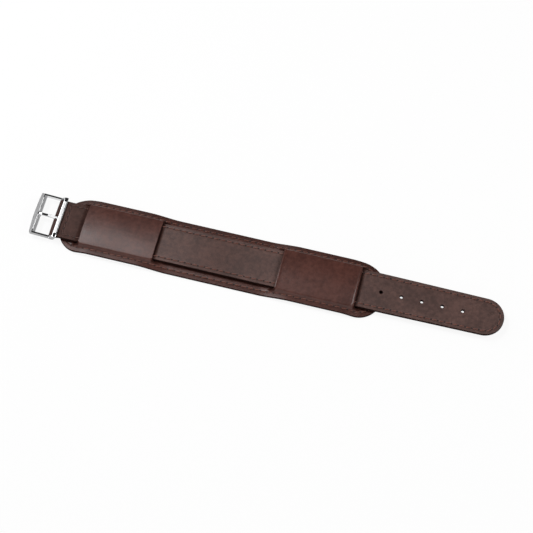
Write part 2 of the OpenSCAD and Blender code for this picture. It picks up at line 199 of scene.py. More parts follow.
# The camera
# It stands high in front of the strap, turned a little towards the tip.
VIEW_AZIMUTH = math.radians(14.28)
VIEW_ELEVATION = math.radians(65.0)
VIEW_DISTANCE = 732.1 * MM
VIEW_TARGET = Vector((0.2, 1.65, 0)) * MM
SENSOR = 36.0
FOCAL_SHARE = 1500 / 533
camera_back = Vector((
    math.sin(VIEW_AZIMUTH) * math.cos(VIEW_ELEVATION),
    -math.cos(VIEW_AZIMUTH) * math.cos(VIEW_ELEVATION),
    math.sin(VIEW_ELEVATION),
))
camera = added("camera", bpy.data.cameras.new("camera"))
camera.data.sensor_width = SENSOR
camera.data.lens = FOCAL_SHARE * SENSOR
camera.data.clip_start = 0.01
camera.data.clip_end = 20
camera.location = VIEW_TARGET + camera_back * VIEW_DISTANCE
camera.rotation_mode = "QUATERNION"
camera.rotation_quaternion = (-camera_back).to_track_quat("-Z", "Y")
bpy.context.scene.camera = camera

# The pad's lining
# A plain layer of calf, cut with round corners, that lies on the wrist and waves up under the tunnels.
# Its cut edge is rounded and painted nearly black together with the layer above it. Both layers were cut
# a little off their even place in the tip half.
lining_low, lining_high = (np.array(corner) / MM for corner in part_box("pad_lining"))
PAD_X = (lining_low[0] + lining_high[0]) / 2
PAD_HALF = (lining_high[0] - lining_low[0]) / 2
PAD_Y = lining_high[1]
PAD_CORNER = 12.0
PAD_LIFT = 1.8
PAD_LINING_T = 0.7
INNER_SLOT = 30.9
INNER_SLOPE = 8.0
END_SLOT = 11.9
OUTER_SLOT = PAD_HALF - END_SLOT
OUTER_SLOPE = END_SLOT / 2
SLOT_CUT = 0.95
CUT_SHIFT_START = 10.0
CUT_SHIFTS = (0, -0.6, 1.0, 1.5)
PAD_SEAM_INSET = 2.3
SEAM_DEPTH = 0.09
SEAM_SPREAD = 0.45
EDGE_ROUND = 0.32
# The near-black of the painted cut edges; the painted shade on the leathers mixes towards it too.
EDGE_PAINT_AND_SHADE = (0.014, 0.006, 0.005)
PAINT_FULL = 0.04
PAD_PAINT_FALL = 0.22
SHARP_EDGE = math.radians(50)
CREASE_HEIGHT = 1.5
PLAIN_STEP = 1.0
SLOT_RUN = 4.0
SLOT_STEP = 0.35
CUT_STEP = 0.3
LIP_RUN = 1.5
LIP_STEP = 0.25
CORNER_RUN = 8.0
CORNER_COLUMNS = 28
LAST_TURN = math.radians(88.5)
SHOULDER_ROWS = (9.0, 12.6, 0.2)
BORDER_STEP = 0.22
RIM_ROWS = (0.36, 0.26, 0.17, 0.09, 0.03, 0)


def ease(share):
    """Smooth step from 0 to 1."""
    share = np.clip(share, 0.0, 1.0)
    return share * share * (3 - 2 * share)


def bell(away, width):
    """A smooth bump that is 1 at no distance and next to nothing past twice its width."""
    return np.exp(-((away / width) ** 2))


def spread(*runs):
    """Places along a line, from runs of (start, end, step), each once and in order."""
    places = []
    for start, end, step in runs:
        count = max(1, round((end - start) / step))
        places += [start + (end - start) * k / count for k in range(count)]
    return places + [runs[-1][1]]


def pad_lift(x):
    """Height of the pad's underside at a place along it."""
    d = np.abs(x - PAD_X)
    rise = ease((d - INNER_SLOT + INNER_SLOPE) / (2 * INNER_SLOPE))
    return PAD_LIFT * rise * (1 - ease((d - OUTER_SLOT + OUTER_SLOPE) / (2 * OUTER_SLOPE)))


def pad_width(x):
    """Half the pad's width at a place along it."""
    past = np.clip(np.abs(x - PAD_X) - PAD_HALF + PAD_CORNER, 0, PAD_CORNER)
    return PAD_Y - PAD_CORNER + np.sqrt(np.maximum(PAD_CORNER**2 - past**2, 0))


def pad_edge(x, y):
    """Distance of a place from the pad's outline."""
    along = np.abs(x - PAD_X) - PAD_HALF + PAD_CORNER
    across = np.abs(y) - PAD_Y + PAD_CORNER
    outside = np.hypot(np.maximum(along, 0), np.maximum(across, 0))
    return PAD_CORNER - outside - np.minimum(np.maximum(along, across), 0)


def cut_shift(x):
    """How far a place in the pad's tip half was really cut from its even place."""
    return np.interp(x - PAD_X, (CUT_SHIFT_START, INNER_SLOT, OUTER_SLOT, PAD_HALF), CUT_SHIFTS)


def rounding(edge, radius):
    """How far a rounded edge falls away at a distance from the outline."""
    short = np.clip(radius - edge, 0, radius)
    return radius - np.sqrt(np.maximum(radius**2 - short**2, 0))


def furrow(edge, inset):
    """Depth to which a seam's thread draws the leather in."""
    return SEAM_DEPTH * bell(edge - inset, SEAM_SPREAD)


def rim_paint(edge, fall):
    """The share of dark paint at a distance from a cut edge."""
    return 1 - ease((edge - PAINT_FULL) / fall)


def strip_faces(columns, rows, kept=lambda i, j: True):
    """The faces of a grid of points, column by column, that kept(column, row) lets stay."""
    return [
        (i * rows + j, (i + 1) * rows + j, (i + 1) * rows + j + 1, i * rows + j + 1)
        for i in range(columns - 1)
        for j in range(rows - 1)
        if kept(i, j)
    ]


def leather_layer(name, outer, inner, faces, paint, material):
    """A closed layer of leather from its outer and inner points in millimetres, which share their faces."""
    count = len(outer)
    rim = set()
    for face in faces:
        for a, b in zip(face, face[1:] + face[:1]):
            if (b, a) in rim:
                rim.remove((b, a))
            else:
                rim.add((a, b))
    inside = [tuple(count + i for i in reversed(face)) for face in faces]
    walls = [(b, a, count + a, count + b) for a, b in sorted(rim)]
    piece = mesh_piece(name, np.vstack([outer, inner]) * MM, faces + inside + walls)
    mark = piece.data.attributes.new("edge_paint_and_shade", "FLOAT", "POINT")
    mark.data.foreach_set("value", np.tile(paint, 2).astype(np.float32))
    shape = bmesh.new()
    shape.from_mesh(piece.data)
    bmesh.ops.delete(shape, geom=[v for v in shape.verts if not v.link_faces], context="VERTS")
    shape.to_mesh(piece.data)
    shape.free()
    piece.data.shade_smooth()
    piece.data.set_sharp_from_angle(angle=SHARP_EDGE)
    piece.data.materials.append(material)
    return piece


def mixed(tree, first=None, second=None):
    """A mix of two colours, each of them given here or linked later."""
    node = place_node(tree, "ShaderNodeMix", {"data_type": "RGBA"})
    for socket, colour in ((node.inputs[6], first), (node.inputs[7], second)):
        if colour:
            socket.default_value = (*colour, 1)
    return node


def leather_grain():
    """The grain of all the leathers: a height of pores and creases, a cloudy mask and a fine one."""
    group = bpy.data.node_groups.new("leather_grain", "ShaderNodeTree")
    for name, start in (("Pore Scale", 2600.0), ("Cloud Scale", 90.0), ("Crease Scale", 500.0)):
        socket = group.interface.new_socket(name, in_out="INPUT", socket_type="NodeSocketFloat")
        socket.default_value = start
    for name in ("Height", "Cloud", "Crease"):
        group.interface.new_socket(name, in_out="OUTPUT", socket_type="NodeSocketFloat")
    given = group.nodes.new("NodeGroupInput")
    made = group.nodes.new("NodeGroupOutput")
    place = group.nodes.new("ShaderNodeTexCoord")
    pores = place_node(group, "ShaderNodeTexVoronoi")
    clouds = place_node(group, "ShaderNodeTexNoise", Detail=4.0, Roughness=0.6)
    creases = place_node(group, "ShaderNodeTexNoise", Detail=3.0, Roughness=0.7)
    for texture, scale in ((pores, "Pore Scale"), (clouds, "Cloud Scale"), (creases, "Crease Scale")):
        group.links.new(place.outputs["Object"], texture.inputs["Vector"])
        group.links.new(given.outputs[scale], texture.inputs["Scale"])
    height = maths(group, "MULTIPLY_ADD", b=CREASE_HEIGHT)
    wire(
        group,
        (creases, height.inputs[0]),
        (pores.outputs["Distance"], height.inputs[2]),
        (height, made.inputs["Height"]),
        (clouds, made.inputs["Cloud"]),
        (creases, made.inputs["Crease"]),
    )
    return group


grain = leather_grain()


def leather(name, dark, light, rough, relief):
    """A dyed leather between two shades, with its painted edges and painted shade, its roughness and the
    depth of its grain.
    """
    material, tree, output = new_material(name)
    skin = tree.nodes.new("ShaderNodeBsdfPrincipled")
    texture = place_node(tree, "ShaderNodeGroup", {"node_tree": grain})
    blend = maths(tree, "MULTIPLY_ADD", b=1.2)
    cloud = place_node(tree, "ShaderNodeMapRange", From_Min=0.88, From_Max=1.32)
    shade = mixed(tree, dark, light)
    # The paint mask holds both the real edge paint and the painted shade.
    paint = place_node(tree, "ShaderNodeAttribute", {"attribute_name": "edge_paint_and_shade"})
    painted = mixed(tree, None, EDGE_PAINT_AND_SHADE)
    gloss = place_node(tree, "ShaderNodeMapRange", To_Min=rough - 0.08, To_Max=rough + 0.08)
    dull = place_node(tree, "ShaderNodeMapRange", From_Max=0.5, To_Min=0.45, To_Max=0.05)
    flat = maths(tree, "MULTIPLY_ADD", b=0.3)
    bump = place_node(tree, "ShaderNodeBump", Strength=0.6, Distance=relief)
    wire(
        tree,
        (texture.outputs["Crease"], blend.inputs[0]),
        (texture.outputs["Cloud"], blend.inputs[2]),
        (blend, cloud.inputs["Value"]),
        (cloud, shade.inputs[0]),
        (shade.outputs[2], painted.inputs[6]),
        (paint.outputs["Fac"], painted.inputs[0]),
        (painted.outputs[2], skin.inputs["Base Color"]),
        (texture.outputs["Crease"], gloss.inputs["Value"]),
        (paint.outputs["Fac"], flat.inputs[0]),
        (gloss, flat.inputs[2]),
        (flat, skin.inputs["Roughness"]),
        (paint.outputs["Fac"], dull.inputs["Value"]),
        (dull, skin.inputs["Specular IOR Level"]),
        (texture.outputs["Height"], bump.inputs["Height"]),
        (bump, skin.inputs["Normal"]),
        (skin, output.inputs["Surface"]),
    )
    return material


half_run = spread(
    (0, INNER_SLOT - SLOT_RUN, PLAIN_STEP),
    (INNER_SLOT - SLOT_RUN, INNER_SLOT - SLOT_CUT, SLOT_STEP),
    (INNER_SLOT - SLOT_CUT, INNER_SLOT, CUT_STEP),
    (INNER_SLOT, INNER_SLOT + LIP_RUN, LIP_STEP),
    (INNER_SLOT + LIP_RUN, OUTER_SLOT - LIP_RUN, PLAIN_STEP),
    (OUTER_SLOT - LIP_RUN, OUTER_SLOT, LIP_STEP),
    (OUTER_SLOT, OUTER_SLOT + SLOT_CUT, CUT_STEP),
    (OUTER_SLOT + SLOT_CUT, PAD_HALF - CORNER_RUN, SLOT_STEP),
)
turn = math.asin(1 - CORNER_RUN / PAD_CORNER)
half_run += [
    PAD_HALF - PAD_CORNER * (1 - math.sin(turn + (LAST_TURN - turn) * k / CORNER_COLUMNS))
    for k in range(1, CORNER_COLUMNS + 1)
]
pad_columns = np.array([PAD_X - d for d in half_run[:0:-1]] + [PAD_X + d for d in half_run])
shoulder_near, shoulder_far, shoulder_step = SHOULDER_ROWS
half_rows = spread(
    (0, shoulder_near, PLAIN_STEP),
    (shoulder_near, shoulder_far, shoulder_step),
    (shoulder_far, PAD_Y - RIM_ROWS[0], BORDER_STEP),
)
half_rows += [PAD_Y - d for d in RIM_ROWS[1:]]
pad_rows = np.array([-y for y in half_rows[:0:-1]] + half_rows)
pad_px = np.repeat(pad_columns, len(pad_rows))
pad_py = np.tile(pad_rows, len(pad_columns)) * pad_width(pad_px) / PAD_Y
pad_rim = pad_edge(pad_px, pad_py)
pad_paint = rim_paint(pad_rim, PAD_PAINT_FALL)
lining_leather = leather("lining_leather", (0.040, 0.019, 0.014), (0.060, 0.029, 0.021), 0.6, 0.00006)
under = pad_lift(pad_px) + rounding(pad_rim, EDGE_ROUND) + furrow(pad_rim, PAD_SEAM_INSET)
pad_lining = leather_layer(
    "pad_lining_leather",
    np.stack([pad_px + cut_shift(pad_px), pad_py, pad_lift(pad_px) + PAD_LINING_T], 1),
    np.stack([pad_px + cut_shift(pad_px), pad_py, under], 1),
    strip_faces(len(pad_columns), len(pad_rows)),
    pad_paint,
    lining_leather,
)
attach(pad_lining, "pad")
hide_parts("pad_lining")

# The pad's top leather
# Smooth reddish calf, sewn to the lining all round. Four slots cross it, and between each pair the
# leather was pressed up wet over a former. That left a crowned tunnel for the strap and its stitches,
# with a thin roof. The slots' cut edges are painted dark. A painted shadow lies round the slots' ends
# beside the strap, and a painted shade darkens the border, deeper along the far side than the near.
ROOF_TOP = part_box("pad_top")[1].z / MM
PAD_TOP_T = 0.8
STITCH_ROOM = 0.3
TUNNEL_ROOM_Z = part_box("strap_top")[1].z / MM + STITCH_ROOM
ROOM_MARGIN = 0.05
ROOF_CROWN = 1.0
ROOF_SWELL = 0.46
ROOF_LIP = 0.12
LIP_PLACE = 0.55
LIP_SPREAD = 0.4
BORDER_FALL = 0.05
SLOT_HALF = 10.4
SHOULDER_START = 10.5
SHOULDER_END = 12.7
SHOULDER_POWER = 1.1
SHOULDER_FADE = 3.4
FADE_START = 1.0
BESIDE_START = 10.15
BESIDE_RUN = 0.9
RAISED = 0.03
RIPPLE_DEPTH = 0.03
RIPPLE_ALONG = 4.3
RIPPLE_ACROSS = 3.7
RIPPLE_START = 0.6
RIPPLE_WANDER = 1.1
RIPPLE_WANDER_RUN = 5.0
SLOT_SHADE = 0.9
# The hook values below place a painted shadow round the slots' ends, beside the strap.
SLOT_END_SHADOW = 0.85
HOOK_Y = 11.0
HOOK_SPREAD = 0.6
HOOK_START = 0.8
HOOK_END = 1.5
HOOK_FADE = 3.0
# Painted shade on the border, deeper along the far side than the near.
FAR_BORDER_PAINTED_SHADE = 0.36
NEAR_BORDER_PAINTED_SHADE = 0.15
BORDER_START = 1.8
BORDER_RUN = 1.2
TOUCH = 0.01


def slot_distance(x):
    """How far a place along the pad lies past the nearest roof's edge; less than 0 on a roof."""
    d = np.abs(x - PAD_X)
    return np.maximum(INNER_SLOT - d, d - OUTER_SLOT)


def roof_share(x, y):
    """How far the top leather is raised, from 0 on the flat pad to 1 on a tunnel's roof."""
    past = slot_distance(x)
    profile = 1 - ease((np.abs(y) - SHOULDER_START) / (SHOULDER_END - SHOULDER_START)) ** SHOULDER_POWER
    fade = 1 - ease((past + FADE_START) / (SHOULDER_FADE + FADE_START))
    beside = ease((np.abs(y) - BESIDE_START) / BESIDE_RUN)
    outside = fade * (1 + (beside - 1) * np.clip(past / SLOT_CUT, 0, 1))
    roof_end = np.where(np.abs(y) < SLOT_HALF - TOUCH, TOUCH, -FADE_START)
    return profile * np.where(past < roof_end, 1.0, outside)


def pad_top_height(x, y):
    """Height of the pad's upper face."""
    flat = pad_lift(x) + PAD_LINING_T + PAD_TOP_T
    roof = ROOF_TOP + ROOF_SWELL - ROOF_CROWN * (y / SHOULDER_START) ** 2
    rim = pad_edge(x, y)
    past = slot_distance(x)
    wander = RIPPLE_WANDER * np.sin(y / RIPPLE_WANDER_RUN)
    ripple = RIPPLE_DEPTH * np.sin(x / RIPPLE_ALONG + wander) * np.sin(y / RIPPLE_ACROSS + RIPPLE_START)
    lip = ROOF_LIP * bell(past + LIP_PLACE, LIP_SPREAD) * (past < TOUCH) * (x > PAD_X)
    fall = BORDER_FALL * (1 - np.minimum(rim / PAD_SEAM_INSET, 1)) ** 2
    relief = rounding(rim, EDGE_ROUND) + furrow(rim, PAD_SEAM_INSET) + fall
    return flat + roof_share(x, y) * (roof + ripple + lip - flat) - relief


column_past = slot_distance((pad_columns[1:] + pad_columns[:-1]) / 2)
pad_row_mid = np.abs(pad_rows[1:] + pad_rows[:-1]) / 2
top = pad_top_height(pad_px, pad_py)
past = slot_distance(pad_px)
across = np.abs(pad_py)
flat_under = pad_lift(pad_px) + PAD_LINING_T
raised = roof_share(pad_px, pad_py) > RAISED
under = np.where(raised, np.maximum(top - PAD_TOP_T, flat_under), flat_under)
in_tunnel = (past < TOUCH) & (across < SLOT_HALF + ROOM_MARGIN)
under = np.where(in_tunnel, np.maximum(under, TUNNEL_ROOM_Z), under)
slot_lip = (np.abs(np.abs(past - SLOT_CUT / 2) - SLOT_CUT / 2) < 2 * TOUCH) & (across < SLOT_HALF)
# A painted shadow round the slots' ends, where the strap comes out beside the leather.
painted_slot_end_shadow = bell(across - HOOK_Y, HOOK_SPREAD) * ease((past + HOOK_START) / HOOK_START)
painted_slot_end_shadow = painted_slot_end_shadow * (1 - ease((past - HOOK_END) / HOOK_FADE))
# A painted shade on the border outside the seam, deeper along the far side.
border = np.where(pad_py > 0, FAR_BORDER_PAINTED_SHADE, NEAR_BORDER_PAINTED_SHADE)
border = border * (1 - ease((pad_rim - BORDER_START) / BORDER_RUN))


def off_slots(i, j):
    """Whether the face at a column and a row of the pad's grid lies outside the four slots."""
    return not (0 < column_past[i] < SLOT_CUT and pad_row_mid[j] < SLOT_HALF)


pad_leather = leather("pad_leather", (0.045, 0.0130, 0.0090), (0.078, 0.0245, 0.0170), 0.38, 0.00004)
pad_top = leather_layer(
    "pad_top_leather",
    np.stack([pad_px + cut_shift(pad_px), pad_py, top], 1),
    np.stack([pad_px + cut_shift(pad_px), pad_py, under], 1),
    strip_faces(len(pad_columns), len(pad_rows), off_slots),
    np.max([pad_paint, slot_lip * SLOT_SHADE, painted_slot_end_shadow * SLOT_END_SHADOW, border], axis=0),
    pad_leather,
)
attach(pad_top, "pad")
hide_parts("pad_top")

# The pad's stitching
# A lock stitch in waxed reddish-brown thread runs all round, just inside the painted edge. Each stitch
# arches out of one needle hole and down into the next, a little aslant, and shows on both faces.
STITCH_PITCH = 3.3 * MM
STITCH_LENGTH = 2.45 * MM
THREAD_W = 0.46 * MM
THREAD_ARCH = 0.15 * MM
STITCH_SLANT = math.radians(8)
STITCH_SLANTS = (0.4, 1.6)
STITCH_RISE = 0.02
PAD_STITCH_DEPTH = 0.3
NEEDLE_HOLE = 0.92 * MM
# Where along the strap, in metres, a painted shade darkens the thread near the buckle.
THREAD_SHADE_X = (-0.094, -0.088)
CORNER_STEPS = 24
SIDE_STEPS = 160
RANDOM_SEED = 7


def seam_tree(name, *more):
    """A tree of geometry nodes that takes a seam, a count, a material and more inputs, and its two ends."""
    tree = bpy.data.node_groups.new(name, "GeometryNodeTree")
    inputs = (("Geometry", "Geometry", None), ("Count", "Int", 10), *more, ("Material", "Material", None))
    for label, kind, start in inputs:
        socket = tree.interface.new_socket(label, in_out="INPUT", socket_type="NodeSocket" + kind)
        if start is not None:
            socket.default_value = start
    tree.interface.new_socket("Geometry", in_out="OUTPUT", socket_type="NodeSocketGeometry")
    return tree, tree.nodes.new("NodeGroupInput"), tree.nodes.new("NodeGroupOutput")


def seam_points(tree, given):
    """Evenly spaced points along a seam, and the turn that lays a stitch along it."""
    path = tree.nodes.new("GeometryNodeMeshToCurve")
    spaced = place_node(tree, "GeometryNodeResampleCurve", {"mode": "COUNT"})
    level = place_node(tree, "FunctionNodeAlignRotationToVector", {"axis": "X", "pivot_axis": "Z"})
    pitch = place_node(tree, "FunctionNodeAlignRotationToVector", {"axis": "X", "pivot_axis": "Y"})
    tangent = tree.nodes.new("GeometryNodeInputTangent")
    wire(
        tree,
        (given.outputs["Geometry"], path.inputs["Mesh"]),
        (path, spaced.inputs["Curve"]),
        (given.outputs["Count"], spaced.inputs["Count"]),
        (tangent, level.inputs["Vector"]),
        (tangent, pitch.inputs["Vector"]),
        (level, pitch.inputs["Rotation"]),
    )
    return spaced, pitch


def lay_along(tree, given, made, shape, points, turned):
    """Ends a tree: the shape on every point, turned, as real geometry in the given material."""
    laid = tree.nodes.new("GeometryNodeInstanceOnPoints")
    real = tree.nodes.new("GeometryNodeRealizeInstances")
    coloured = tree.nodes.new("GeometryNodeSetMaterial")
    wire(
        tree,
        (points, laid.inputs["Points"]),
        (shape, laid.inputs["Instance"]),
        (turned, laid.inputs["Rotation"]),
        (laid, real.inputs["Geometry"]),
        (real, coloured.inputs["Geometry"]),
        (given.outputs["Material"], coloured.inputs["Material"]),
        (coloured, made.inputs[0]),
    )


def stitch_tree():
    """Geometry nodes that lay a thread's stitches along a seam."""
    sizes = [(label, "Float", MM) for label in ("Stitch Length", "Thread Radius", "Arch", "Slant")]
    tree, given, made = seam_tree("lock_stitches", *sizes, ("Seed", "Int", RANDOM_SEED))
    points, turned = seam_points(tree, given)
    half = maths(tree, "MULTIPLY", b=0.5)
    span = tree.nodes.new("ShaderNodeCombineXYZ")
    minus = place_node(tree, "ShaderNodeVectorMath", {"operation": "SCALE"}, Scale=-1.0)
    line = tree.nodes.new("GeometryNodeCurvePrimitiveLine")
    fine = place_node(tree, "GeometryNodeResampleCurve", {"mode": "COUNT"}, Count=9)
    along = tree.nodes.new("GeometryNodeSplineParameter")
    centred = maths(tree, "MULTIPLY_ADD", b=2.0, c=-1.0)
    size_of = maths(tree, "ABSOLUTE")
    fourth = maths(tree, "POWER", b=4.0)
    hump = maths(tree, "SUBTRACT", a=1.0)
    rise = maths(tree, "MULTIPLY")
    lift_up = tree.nodes.new("ShaderNodeCombineXYZ")
    arched = tree.nodes.new("GeometryNodeSetPosition")
    taper = place_node(tree, "ShaderNodeMapRange", To_Min=0.45, To_Max=1.0)
    profile = place_node(tree, "GeometryNodeCurvePrimitiveCircle", Resolution=8)
    swept = place_node(tree, "GeometryNodeCurveToMesh", Fill_Caps=True)
    smooth = tree.nodes.new("GeometryNodeSetShadeSmooth")
    jitter = place_node(tree, "FunctionNodeRandomValue", {"data_type": "FLOAT"})
    jitter.inputs[2].default_value, jitter.inputs[3].default_value = STITCH_SLANTS
    varied = maths(tree, "MULTIPLY")
    slant = tree.nodes.new("ShaderNodeCombineXYZ")
    slanted = tree.nodes.new("FunctionNodeEulerToRotation")
    aslant = place_node(tree, "FunctionNodeRotateRotation", {"rotation_space": "LOCAL"})
    wire(
        tree,
        (given.outputs["Stitch Length"], half.inputs[0]),
        (half, span.inputs["X"]),
        (span, minus.inputs[0]),
        (minus, line.inputs["Start"]),
        (span, line.inputs["End"]),
        (line, fine.inputs["Curve"]),
        (along.outputs["Factor"], centred.inputs[0]),
        (centred, size_of.inputs[0]),
        (size_of, fourth.inputs[0]),
        (fourth, hump.inputs[1]),
        (hump, rise.inputs[0]),
        (given.outputs["Arch"], rise.inputs[1]),
        (rise, lift_up.inputs["Z"]),
        (fine, arched.inputs["Geometry"]),
        (lift_up, arched.inputs["Offset"]),
        (hump, taper.inputs["Value"]),
        (given.outputs["Thread Radius"], profile.inputs["Radius"]),
        (arched, swept.inputs["Curve"]),
        (profile, swept.inputs["Profile Curve"]),
        (taper, swept.inputs["Scale"]),
        (swept, smooth.inputs["Geometry"]),
        (given.outputs["Seed"], jitter.inputs["Seed"]),
        (given.outputs["Slant"], varied.inputs[0]),
        (jitter.outputs[1], varied.inputs[1]),
        (varied, slant.inputs["Z"]),
        (slant, slanted.inputs[0]),
        (turned, aslant.inputs["Rotation"]),
        (slanted, aslant.inputs["Rotate By"]),
    )
    lay_along(tree, given, made, smooth, points, aslant)
    return tree


def hole_tree():
    """Geometry nodes that lay flat dark discs along a seam, as painted shade in the needle holes' mouths."""
    tree, given, made = seam_tree("needle_hole_painted_shades", ("Hole Radius", "Float", MM))
    points, turned = seam_points(tree, given)
    mouth = place_node(tree, "GeometryNodeMeshIcoSphere", Subdivisions=2)
    flat = place_node(tree, "GeometryNodeTransform", Scale=(1.15, 0.9, 0.12))
    smooth = tree.nodes.new("GeometryNodeSetShadeSmooth")
    wire(
        tree,
        (given.outputs["Hole Radius"], mouth.inputs["Radius"]),
        (mouth, flat.inputs["Geometry"]),
        (flat, smooth.inputs["Geometry"]),
    )
    lay_along(tree, given, made, smooth, points, turned)
    return tree


stitches_of = stitch_tree()
holes_of = hole_tree()


def grown(path, closed, tree, values):
    """The mesh that a tree of geometry nodes makes along a path in metres, as mesh data."""
    count = len(path)
    mesh = bpy.data.meshes.new("seam")
    links = [(k, k + 1) for k in range(count - 1)] + ([(count - 1, 0)] if closed else [])
    mesh.from_pydata([tuple(p) for p in path], links, [])
    carrier = added("seam", mesh)
    modifier = carrier.modifiers.new("seam", "NODES")
    modifier.node_group = tree
    for item in tree.interface.items_tree:
        if item.item_type == "SOCKET" and item.in_out == "INPUT" and item.name in values:
            modifier[item.identifier] = values[item.name]
    bpy.context.view_layer.update()
    sewn = carrier.evaluated_get(bpy.context.evaluated_depsgraph_get())
    data = bpy.data.meshes.new_from_object(sewn)
    bpy.data.objects.remove(carrier)
    return data


def joined(name, parts, material):
    """One plain mesh piece from several lots of mesh data."""
    shape = bmesh.new()
    for data in parts:
        shape.from_mesh(data)
    mesh = bpy.data.meshes.new(name)
    shape.to_mesh(mesh)
    shape.free()
    mesh.materials.append(material)
    mesh.shade_smooth()
    return added(name, mesh)


def sewn_seam(paths, thread, holes, underside):
    """Mesh data of the stitches and of the needle holes on paths of (points in mm, closed, count)."""
    stitch_values = {
        "Stitch Length": STITCH_LENGTH,
        "Thread Radius": THREAD_W / 2,
        "Arch": -THREAD_ARCH if underside else THREAD_ARCH,
        "Slant": STITCH_SLANT,
        "Seed": RANDOM_SEED,
        "Material": thread,
    }
    mouth_values = {"Hole Radius": NEEDLE_HOLE / 2, "Material": holes}
    stitches, mouths = [], []
    for path, closed, count in paths:
        dense = np.vstack([path, path[:1]]) if closed else path
        far = np.append(0, np.cumsum(np.hypot(*np.diff(dense[:, :2], axis=0).T)))
        step = far[-1] / count
        middles = (np.arange(count) + 0.5) * step
        ends = np.arange(count if closed else count + 1) * step
        for places, tree, values, made in (
            (middles, stitches_of, stitch_values, stitches),
            (ends, holes_of, mouth_values, mouths),
        ):
            places = places % far[-1] if closed else places
            points = np.stack([np.interp(places, far, dense[:, k]) for k in range(3)], 1)
            made.append(grown(points * MM, closed, tree, {**values, "Count": len(points)}))
    return stitches, mouths


def thread_material():
    """Waxed thread: reddish brown, with the fine diagonal lay of its plies, and a painted shade near the
    buckle.
    """
    material, tree, output = new_material("waxed_thread")
    skin = place_node(tree, "ShaderNodeBsdfPrincipled")
    place = tree.nodes.new("ShaderNodeTexCoord")
    lay = {"bands_direction": "DIAGONAL"}
    plies = place_node(tree, "ShaderNodeTexWave", lay, Scale=900.0, Distortion=1.5)
    shade = mixed(tree, (0.100, 0.031, 0.020), (0.195, 0.073, 0.051))
    along = tree.nodes.new("ShaderNodeSeparateXYZ")
    start, end = THREAD_SHADE_X
    # A painted shade darkens the thread near the buckle, as on the strap there.
    thread_shade_share = place_node(tree, "ShaderNodeMapRange", From_Min=start, From_Max=end, To_Min=0.7, To_Max=0.0)
    shaded_thread = mixed(tree, None, (0.030, 0.012, 0.009))
    gloss = place_node(tree, "ShaderNodeMapRange", To_Min=0.42, To_Max=0.6)
    bump = place_node(tree, "ShaderNodeBump", Strength=0.5, Distance=0.00004)
    wire(
        tree,
        (place.outputs["Object"], plies.inputs["Vector"]),
        (plies.outputs["Fac"], shade.inputs[0]),
        (place.outputs["Object"], along.inputs[0]),
        (along.outputs["X"], thread_shade_share.inputs["Value"]),
        (thread_shade_share, shaded_thread.inputs[0]),
        (shade.outputs[2], shaded_thread.inputs[6]),
        (shaded_thread.outputs[2], skin.inputs["Base Color"]),
        (plies.outputs["Fac"], gloss.inputs["Value"]),
        (gloss, skin.inputs["Roughness"]),
        (plies.outputs["Fac"], bump.inputs["Height"]),
        (bump, skin.inputs["Normal"]),
        (skin, output.inputs["Surface"]),
    )
    return material


def hole_shade_material():
    """Painted shade for the inside of a needle hole, darker in places where the awl bruised the leather."""
    material, tree, output = new_material("needle_hole_painted_shade")
    skin = place_node(tree, "ShaderNodeBsdfPrincipled")
    place = tree.nodes.new("ShaderNodeTexCoord")
    bruise = place_node(tree, "ShaderNodeTexNoise", Scale=1800.0)
    shade = mixed(tree, (0.006, 0.003, 0.0025), (0.022, 0.009, 0.007))
    rough = place_node(tree, "ShaderNodeMapRange", To_Min=0.7, To_Max=0.9)
    wire(
        tree,
        (place.outputs["Object"], bruise.inputs["Vector"]),
        (bruise, shade.inputs[0]),
        (shade.outputs[2], skin.inputs["Base Color"]),
        (bruise, rough.inputs["Value"]),
        (rough, skin.inputs["Roughness"]),
        (skin, output.inputs["Surface"]),
    )
    return material


def pad_seam_path():
    """The seam's line round the pad, as places along and across it."""
    radius = PAD_CORNER - PAD_SEAM_INSET
    run_x = PAD_HALF - PAD_CORNER
    run_y = PAD_Y - PAD_CORNER
    places = []
    for quarter, (sx, sy) in enumerate(((1, 1), (-1, 1), (-1, -1), (1, -1))):
        for k in range(CORNER_STEPS + 1):
            angle = math.radians(90 * quarter + 90 * k / CORNER_STEPS)
            place = (PAD_X + sx * run_x + radius * math.cos(angle), sy * run_y + radius * math.sin(angle))
            places.append(place)
        if quarter in (0, 2):
            for k in range(1, SIDE_STEPS):
                place = (PAD_X + sx * (run_x - 2 * run_x * k / SIDE_STEPS), sy * (run_y + radius))
                places.append(place)
    return np.array(places)


thread = thread_material()
# Flat dark discs at the needle holes stand in for the shade inside them.
hole_shade = hole_shade_material()
path = pad_seam_path()
px, py = path.T
seam_length = np.hypot(*(np.roll(path, -1, 0) - path).T).sum()
pad_count = round(seam_length * MM / STITCH_PITCH)
upper = np.stack([px + cut_shift(px), py, pad_top_height(px, py) + STITCH_RISE], 1)
lower = np.stack([px + cut_shift(px), py, pad_lift(px) + SEAM_DEPTH + PAD_STITCH_DEPTH], 1)
top_stitches, top_mouths = sewn_seam([(upper, True, pad_count)], thread, hole_shade, False)
low_stitches, low_mouths = sewn_seam([(lower, True, pad_count)], thread, hole_shade, True)
pad_stitches = joined("pad_stitches", top_stitches + low_stitches, thread)
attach(pad_stitches, "pad")
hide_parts("pad_thread")
pad_mouths = joined("pad_needle_hole_shades", top_mouths + low_mouths, hole_shade)
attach(pad_mouths, "pad")

